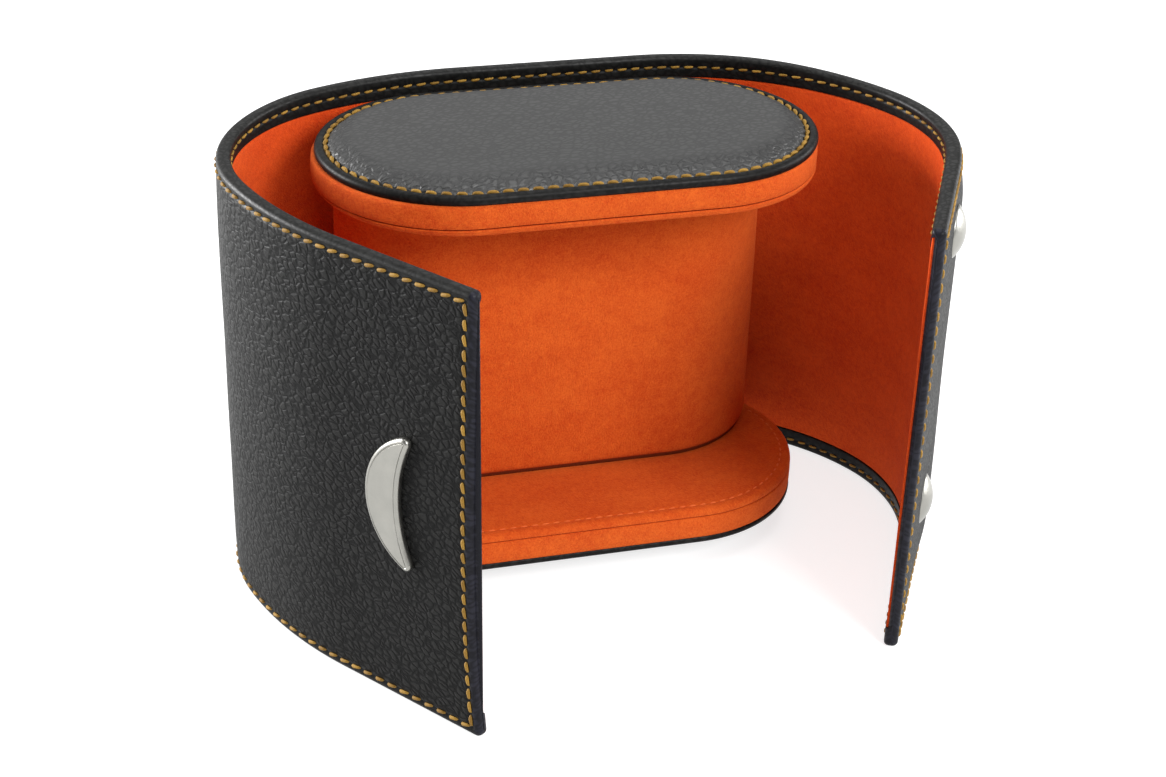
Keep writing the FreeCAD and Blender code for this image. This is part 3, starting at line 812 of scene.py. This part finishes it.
def clasp():
    """The crescent plate: rings of (inset, rise) up its edge and over its lip to its flat face."""
    rings = [(0.5, -0.3), (0.1, -0.1), (0.0, 0.3), (0.0, 0.85), (0.05, 1.1), (0.17, 1.3)]
    rings += [(0.35, 1.45), (0.56, 1.56), (0.74, 1.58), (0.8, 1.56), (0.84, 1.4), (0.94, 1.38)]
    rings += [(0.98, 1.52), (1.04, 1.6)]
    tip = CLASP_EDGE_DISTANCE - LEFT_END
    count = len(crescent_outline(0))
    columns = [[] for _ in range(count)]
    for inset, rise in rings:
        for column, (x, y) in zip(columns, crescent_outline(inset)):
            column.append(wall_point(tip - x, WALL_T + rise, CLASP_Z + y))
    points = [p for column in columns for p in column]
    faces = grid_faces(count, len(rings), loop_columns=True)
    faces.append(tuple(c * len(rings) for c in range(count)))
    faces.append(tuple(c * len(rings) + len(rings) - 1 for c in reversed(range(count))))
    return build("clasp_crescent", points, faces, silver, points)


def stud_domes():
    """Two low domes, each square to the bulging wall at its place."""
    ball_r = (STUD_R ** 2 + STUD_H ** 2) / (2 * STUD_H)
    profile = [(STUD_R - 0.6, -METAL_SUNK), (STUD_R - 0.1, -METAL_SUNK), (STUD_R, -0.2)]
    widest = math.asin(STUD_R / ball_r)
    for i in range(14):
        turn = lerp(widest, 0, i / 13)
        profile.append((ball_r * math.sin(turn), STUD_H - ball_r + ball_r * math.cos(turn)))
    profile.append((0.0, -METAL_SUNK))
    s = RIGHT_END - STUD_EDGE_DISTANCE
    points = []
    faces = []
    for z in STUD_Z:
        first = len(points)
        middle = wall_point(s, WALL_T, z)
        across = (wall_point(s + 3, WALL_T, z) - wall_point(s - 3, WALL_T, z)).normalized()
        up = (wall_point(s, WALL_T, z + 3) - wall_point(s, WALL_T, z - 3)).normalized()
        normal = up.cross(across)
        normal *= math.copysign(1, normal.dot(spot(s)[1]))
        for i in range(STUD_SIDES):
            turn = 2 * math.pi * i / STUD_SIDES
            way = across * math.cos(turn) + up * math.sin(turn)
            points += [middle + way * r + normal * h for r, h in profile]
        ring = grid_faces(STUD_SIDES, len(profile), loop_columns=True, loop_rows=True)
        faces += [tuple(first + i for i in face) for face in ring]
    return build("stud_domes", points, faces, silver, points, merge=True)


# ---- materials ----
class Shader:
    """A material built node by node. Textures are laid out on the grain attribute, in mm."""

    def __init__(self, name, attribute="grain"):
        self.material = bpy.data.materials.new(name)
        self.material.use_nodes = True
        self.tree = self.material.node_tree
        self.surface = self.tree.nodes["Principled BSDF"]
        if attribute:
            source = self.add("ShaderNodeAttribute", attribute_name=attribute)
            self.place = source.outputs["Vector"]
        else:
            source = self.add("ShaderNodeTexCoord")
            self.place = self.scaled(source.outputs["Object"], (1 / MM, 1 / MM, 1 / MM))

    def add(self, kind, inputs=None, **settings):
        """A node with those settings, and its sockets fed from a dict of inputs."""
        made = self.tree.nodes.new(kind)
        for key, value in settings.items():
            setattr(made, key, value)
        for key, value in (inputs or {}).items():
            self.feed(made.inputs[key], value)
        return made

    def feed(self, socket, value):
        """Set a socket to a number, vector or (red, green, blue), or link an output to it."""
        if isinstance(value, bpy.types.NodeSocket):
            self.tree.links.new(value, socket)
        else:
            socket.default_value = value + (1.0,) if socket.type == "RGBA" else value

    def maths(self, operation, *values):
        return self.add("ShaderNodeMath", dict(enumerate(values)), operation=operation).outputs[0]

    def vector_maths(self, operation, *values):
        inputs = dict(enumerate(values))
        return self.add("ShaderNodeVectorMath", inputs, operation=operation).outputs[0]

    def scaled(self, place, scale):
        return self.vector_maths("MULTIPLY", place, scale)

    def stretched(self, x, y, z=1.0):
        return self.scaled(self.place, (x, y, z))

    def turned(self, place, angle, scale):
        """The place turned about z by an angle in degrees, then stretched."""
        inputs = {"Vector": place, "Rotation": (0, 0, math.radians(angle))}
        return self.scaled(self.add("ShaderNodeMapping", inputs).outputs["Vector"], scale)

    def warped(self, size, amount):
        """The place, pushed about by noise of that size, in mm."""
        inputs = {"Vector": self.place, "Scale": 1 / size, "Detail": 2.0}
        push = self.add("ShaderNodeTexNoise", inputs).outputs["Color"]
        return self.vector_maths("MULTIPLY_ADD", push, (amount, amount, amount), self.place)

    def noise(self, size, detail=3.0, place=None, roughness=0.55):
        inputs = {"Vector": place or self.place, "Scale": 1 / size}
        inputs.update({"Detail": detail, "Roughness": roughness})
        return self.add("ShaderNodeTexNoise", inputs).outputs["Fac"]

    def cells(self, size, place):
        """Distance to the nearest edge between cells of that size."""
        inputs = {"Vector": place, "Scale": 1 / size}
        made = self.add("ShaderNodeTexVoronoi", inputs, feature="DISTANCE_TO_EDGE")
        return made.outputs["Distance"]

    def sum(self, *terms):
        """The terms added up: each is a value and its weight."""
        total = 0.0
        for value, weight in terms:
            total = self.maths("MULTIPLY_ADD", value, weight, total)
        return total

    def times(self, a, b):
        return self.maths("MULTIPLY", a, b)

    def larger(self, a, b):
        return self.maths("MAXIMUM", a, b)

    def span(self, value, low, high, out_low=0.0, out_high=1.0):
        """The value's range from low to high, carried smoothly to the range of the outputs."""
        inputs = {"Value": value, "From Min": low, "From Max": high}
        inputs.update({"To Min": out_low, "To Max": out_high})
        made = self.add("ShaderNodeMapRange", inputs, interpolation_type="SMOOTHSTEP")
        return made.outputs["Result"]

    def value(self, name):
        """A number that the mesh holds for each point, under that name."""
        return self.add("ShaderNodeAttribute", attribute_name=name).outputs["Fac"]

    def mix(self, factor, a, b):
        inputs = {"Factor": factor, 6: a, 7: b}
        return self.add("ShaderNodeMix", inputs, data_type="RGBA").outputs[2]

    def bump(self, height, depth):
        """Relief from a height of 0 to 1, with a depth in mm."""
        inputs = {"Strength": 1.0, "Distance": depth * MM, "Height": height}
        self.feed(self.surface.inputs["Normal"], self.add("ShaderNodeBump", inputs).outputs[0])

    def finish(self, colour, roughness, constants):
        """Fill in the shader. The constants go straight on its sockets."""
        settings = {"Base Color": colour, "Roughness": roughness, **constants}
        for key, value in settings.items():
            self.feed(self.surface.inputs[key], value)
        return self.material


def make_leather(name, cell=1.5, depth=0.16, light=0.0115, gloss=0.1, blue=0.95):
    """Pebbled black leather, smoother where the smooth_edge attribute is high.

    cell is the pebbles' size and depth their relief, in mm. light is the pebbles' tone, and
    blue is the share of it that their blue has. The creases between pebbles are painted darker, as
    painted shade.
    """
    shader = Shader(name)
    place = shader.warped(3.0, 1.6)
    slant = shader.turned(place, -16.0, (0.74, 1.15, 1.0))
    edges = shader.cells(cell, slant)
    pebbles = shader.span(edges, 0.0, 0.3)
    # Painted shade: this mask is low in the creases between pebbles, and there the colour goes
    # nearly black.
    crease = shader.span(edges, 0.0, 0.26)
    small = shader.span(shader.cells(cell / 2.3, slant), 0.0, 0.4)
    smooth_edge = shader.value("smooth_edge")
    crease = shader.larger(crease, shader.span(smooth_edge, 0.2, 1.0))
    wrinkle = shader.noise(2.2, 3.0, place=slant, roughness=0.5)
    fine = shader.noise(0.3, 2.0)
    broad = shader.noise(7.0, 3.0)
    grainy = shader.span(smooth_edge, 0.0, 1.0, 1.0, 0.06)
    height = shader.sum((pebbles, 0.8), (small, 0.07), (wrinkle, 0.35), (fine, 0.03), (broad, 0.3))
    shader.bump(shader.times(height, grainy), depth)
    tone = shader.sum((pebbles, 0.55), (small, 0.06), (wrinkle, 0.3), (broad, 0.3))
    # The grain tone is multiplied by the crease mask, so the creases carry painted shade.
    tone = shader.times(crease, tone)
    shade = shader.mix(tone, (0.001, 0.001, 0.001), (light, light, light * blue))
    rough = shader.sum((grainy, 0.1), (pebbles, -0.08), (broad, 0.1), (1.0, 0.42))
    return shader.finish(shade, rough, {"IOR": 1.5, "Specular IOR Level": gloss})


def make_suede(name, deep_tone, bright_tone):
    """Orange suede: short nap, soft mottling and faint brush marks, with painted shade in creases
    and seam grooves.
    """
    shader = Shader(name)
    place = shader.warped(2.0, 1.2)
    slant = shader.turned(place, -38.0, (1.7, 0.6, 1.0))
    nap = shader.noise(0.22, 3.0, roughness=0.7)
    tuft = shader.noise(0.5, 3.0, place=slant, roughness=0.65)
    mottle = shader.noise(1.9, 3.0)
    brushed = shader.noise(12.0, 3.0, place=shader.stretched(0.8, 1.2))
    shader.bump(shader.sum((nap, 0.6), (tuft, 0.8)), 0.36)
    tone = shader.sum((nap, 0.35), (tuft, 0.55), (mottle, 0.25), (brushed, 0.3))
    # Painted shade: where the crease attribute is high, the suede loses its brighter tones and is
    # painted dark red-brown.
    crease = shader.value("crease")
    spread = shader.times(shader.span(tone, 0.38, 0.98), shader.span(crease, 0.0, 0.5, 1.0, 0.0))
    deep_with_crease_shade = shader.mix(crease, deep_tone, (0.1, 0.008, 0.002))
    shade = shader.mix(spread, deep_with_crease_shade, bright_tone)
    sheen = {"Sheen Weight": 0.16, "Sheen Roughness": 0.5, "Sheen Tint": (1.0, 0.36, 0.1)}
    sheen["Specular IOR Level"] = 0.1
    return shader.finish(shade, shader.sum((mottle, 0.1), (1.0, 0.82)), sheen)


def make_thread(name, dark, light):
    """Waxed linen thread, each stitch a little lighter or darker."""
    shader = Shader(name)
    tone = shader.sum((shader.value("shade"), 0.6), (shader.noise(0.5, 2.0), 0.5))
    fibre = shader.noise(0.12, 2.0, place=shader.stretched(0.5, 2.0))
    shader.bump(fibre, 0.05)
    shade = shader.mix(shader.sum((tone, 0.8), (fibre, 0.2)), dark, light)
    return shader.finish(shade, shader.sum((fibre, 0.2), (1.0, 0.5)), {"Specular IOR Level": 0.2})


def make_silver(name):
    """Satin silver plate with fine rub marks."""
    shader = Shader(name)
    rubbed = shader.noise(0.35, 3.0, place=shader.stretched(1.0, 1.0, 0.12))
    cloud = shader.noise(5.0, 3.0)
    shader.bump(rubbed, 0.012)
    shade = shader.mix(cloud, (0.25, 0.25, 0.23), (0.36, 0.35, 0.32))
    rough = shader.sum((rubbed, 0.14), (cloud, 0.1), (1.0, 0.22))
    return shader.finish(shade, rough, {"Metallic": 1.0})


def make_plain(name, dark, light, size, rough, depth, metallic=0.0):
    """A stiff hidden material: board, foam or steel, with a speckle of that size."""
    shader = Shader(name, attribute=None)
    speckle = shader.noise(size, 4.0)
    shader.bump(speckle, depth)
    shade = shader.mix(speckle, dark, light)
    return shader.finish(shade, shader.sum((speckle, 0.15), (1.0, rough)), {"Metallic": metallic})


leather = make_leather("black_leather")
rim_leather = make_leather("black_leather_rim", cell=1.4, depth=0.3, light=0.018, gloss=0.12)
edge_leather = make_leather(
    "black_leather_edge", cell=1.4, depth=0.3, light=0.016, gloss=0.12, blue=1.5
)
top_leather = make_leather("black_leather_top", cell=1.5, depth=0.24, light=0.016, gloss=0.66)
suede = make_suede("orange_suede", (0.43, 0.026, 0.003), (0.69, 0.128, 0.017))
# A shaded copy of the orange suede, redder and with less green: painted shade for the lining inside
# the wall.
shaded_lining_suede = make_suede("orange_suede_lining_painted_shade", (0.42, 0.016, 0.002), (0.72, 0.088, 0.011))
gold_thread = make_thread("gold_thread", (0.12, 0.058, 0.007), (0.34, 0.192, 0.03))
orange_thread = make_thread("orange_thread", (0.62, 0.11, 0.02), (0.78, 0.18, 0.04))
silver = make_silver("silver_metal")
board = make_plain("grey_board", (0.16, 0.13, 0.1), (0.34, 0.29, 0.23), 0.7, 0.75, 0.05)
foam = make_plain("foam", (0.55, 0.5, 0.38), (0.75, 0.7, 0.58), 0.4, 0.85, 0.2)
steel = make_plain("zinc_steel", (0.42, 0.43, 0.44), (0.6, 0.6, 0.6), 1.5, 0.28, 0.01, metallic=1.0)


# ---- the pieces ----
def make_wall():
    """The wall's pieces, one for each fold, standing for the panels on either side."""
    for number, first, last, fold in segments():
        panel, ahead = PANELS[number - 1], PANELS[number]
        for make, kind, slot in (
            (wall_leather, "leather", "black_leather"),
            (wall_lining, "lining", "orange_suede"),
            (wall_thread, "stitching", "gold_thread"),
        ):
            thing = make(number, first, last)
            bend(thing, fold, panel, ahead)
            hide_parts("%s_%s" % (panel, kind), "%s_%s" % (ahead, kind))


def fixed(thing, body, slot, *stands_for):
    """A piece that rides one body and stands for those nodes."""
    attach(thing, body)
    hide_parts(*stands_for)
    return thing


def in_front_of_column(share):
    point = oblong_spot(share, DISC_STITCH_INSET)[0]
    return core_distance(point.x - SPOOL_X, point.y - SPOOL_Y) > 0.5


def make_spool():
    pad = fixed(top_cover(), "root", "black_leather", "top_leather_cover", "top_foam_pad")
    fixed(top_suede(), "root", "orange_suede", "top_suede_band", "top_suede_underside")
    row = disc_row(
        "top_thread", DISC_STITCHES, GROOVE_Z + 0.24, STITCH_LENGTH, 1.15 * STITCH_WIDTH,
        -STITCH_SLANT, gold_thread,
    )
    fixed(row, "root", "gold_thread", "top_stitching")
    fixed(base_suede(), "root", "orange_suede", "base_suede_band", "base_suede_top")
    fixed(base_cover(), "root", "black_leather", "base_leather_cover")
    count = round(DISC_ROW_LENGTH / BASE_PITCH)
    row = disc_row(
        "base_thread", count, BASE_TOP - 0.14, 1.6, 0.36, 0.05, orange_thread, in_front_of_column
    )
    fixed(row, "root", "orange_suede", "base_stitching")
    fixed(core_sleeve(), "root", "orange_suede", "core_suede_sleeve")
    fixed(back_pad(), "root", "orange_suede", "spine_pad")


def make_hardware():
    fixed(clasp(), "left_flap", "silver_metal", "clasp_plate")
    fixed(stud_domes(), "right_flap", "silver_metal", "stud_caps")


def paint_hidden_parts():
    """Finishes for the CAD parts that stay: boards, foam and fixings inside the case."""
    for name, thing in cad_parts.items():
        finish = board
        if "foam" in name:
            finish = foam
        elif "screws" in name or "rivets" in name or "magnet" in name:
            finish = steel
        thing.data.materials.clear()
        thing.data.materials.append(finish)


# ---- studio ----
# Area lights: name, place and size in metres, and power.
LIGHTS = (
    ("key", (0.45, -0.97, 0.85), (0.5, 0.5), 18),
    ("top", (0.1, 0.1, 1.0), (0.8, 0.8), 6),
    ("left", (-1.1, 0.75, 0.35), (0.6, 0.6), 42),
    ("right", (1.2, 0.1, 0.35), (0.9, 0.6), 13),
    ("back", (0.0, 1.2, 0.75), (2.2, 1.0), 4.5),
)
LIGHT_AIM = (0.0, 0.0, 0.05)
WORLD_LIGHT = 0.25
FLOOR_SIDE = 4.0              # half the floor's width
FLOOR_TONE = 0.4
FLOOR_GLOW = 0.75             # makes the floor as pale as the world behind it
CAMERA_PLACE = (-121.514, -397.620, 271.018)
CAMERA_YAW = 0.288546
CAMERA_PITCH = 0.499067
CAMERA_ROLL = -0.032941
CAMERA_LENS = 65.65           # on the usual 36 mm sensor


def make_camera():
    ahead = Vector((
        math.sin(CAMERA_YAW) * math.cos(CAMERA_PITCH),
        math.cos(CAMERA_YAW) * math.cos(CAMERA_PITCH),
        -math.sin(CAMERA_PITCH),
    ))
    level = Vector((math.cos(CAMERA_YAW), -math.sin(CAMERA_YAW), 0))
    down = ahead.cross(level)
    right = level * math.cos(CAMERA_ROLL) + down * math.sin(CAMERA_ROLL)
    lower = down * math.cos(CAMERA_ROLL) - level * math.sin(CAMERA_ROLL)
    matrix = Matrix((right, -lower, -ahead)).transposed().to_4x4()
    matrix.translation = Vector(CAMERA_PLACE) * MM
    camera = add_object("camera", bpy.data.cameras.new("camera"))
    camera.data.lens = CAMERA_LENS
    camera.data.clip_start = 0.01
    camera.matrix_world = matrix
    bpy.context.scene.camera = camera


def area_light(name, place, size, power):
    light = bpy.data.lights.new(name, "AREA")
    light.shape = "RECTANGLE"
    light.size, light.size_y = size
    light.energy = power
    thing = add_object(name, light)
    thing.location = place
    aim = Vector(LIGHT_AIM) - Vector(place)
    thing.rotation_mode = "QUATERNION"
    thing.rotation_quaternion = aim.to_track_quat("-Z", "Y")


def make_studio():
    world = bpy.data.worlds.new("studio")
    world.use_nodes = True
    background = world.node_tree.nodes["Background"]
    background.inputs["Color"].default_value = (1, 1, 1, 1)
    background.inputs["Strength"].default_value = WORLD_LIGHT
    bpy.context.scene.world = world
    for light in LIGHTS:
        area_light(*light)
    floor_mesh = bpy.data.meshes.new("floor")
    corners = [(x * FLOOR_SIDE, y * FLOOR_SIDE, 0) for x, y in ((-1, -1), (1, -1), (1, 1), (-1, 1))]
    floor_mesh.from_pydata(corners, [], [(0, 1, 2, 3)])
    pale = Shader("pale_floor", attribute=None)
    glow = {"Emission Color": (1.0, 1.0, 1.0), "Emission Strength": FLOOR_GLOW}
    floor_mesh.materials.append(pale.finish((FLOOR_TONE, FLOOR_TONE, FLOOR_TONE), 0.9, glow))
    add_object("floor", floor_mesh)
    bpy.context.scene.view_settings.view_transform = "Standard"


make_wall()
make_spool()
make_hardware()
paint_hidden_parts()
make_camera()
make_studio()
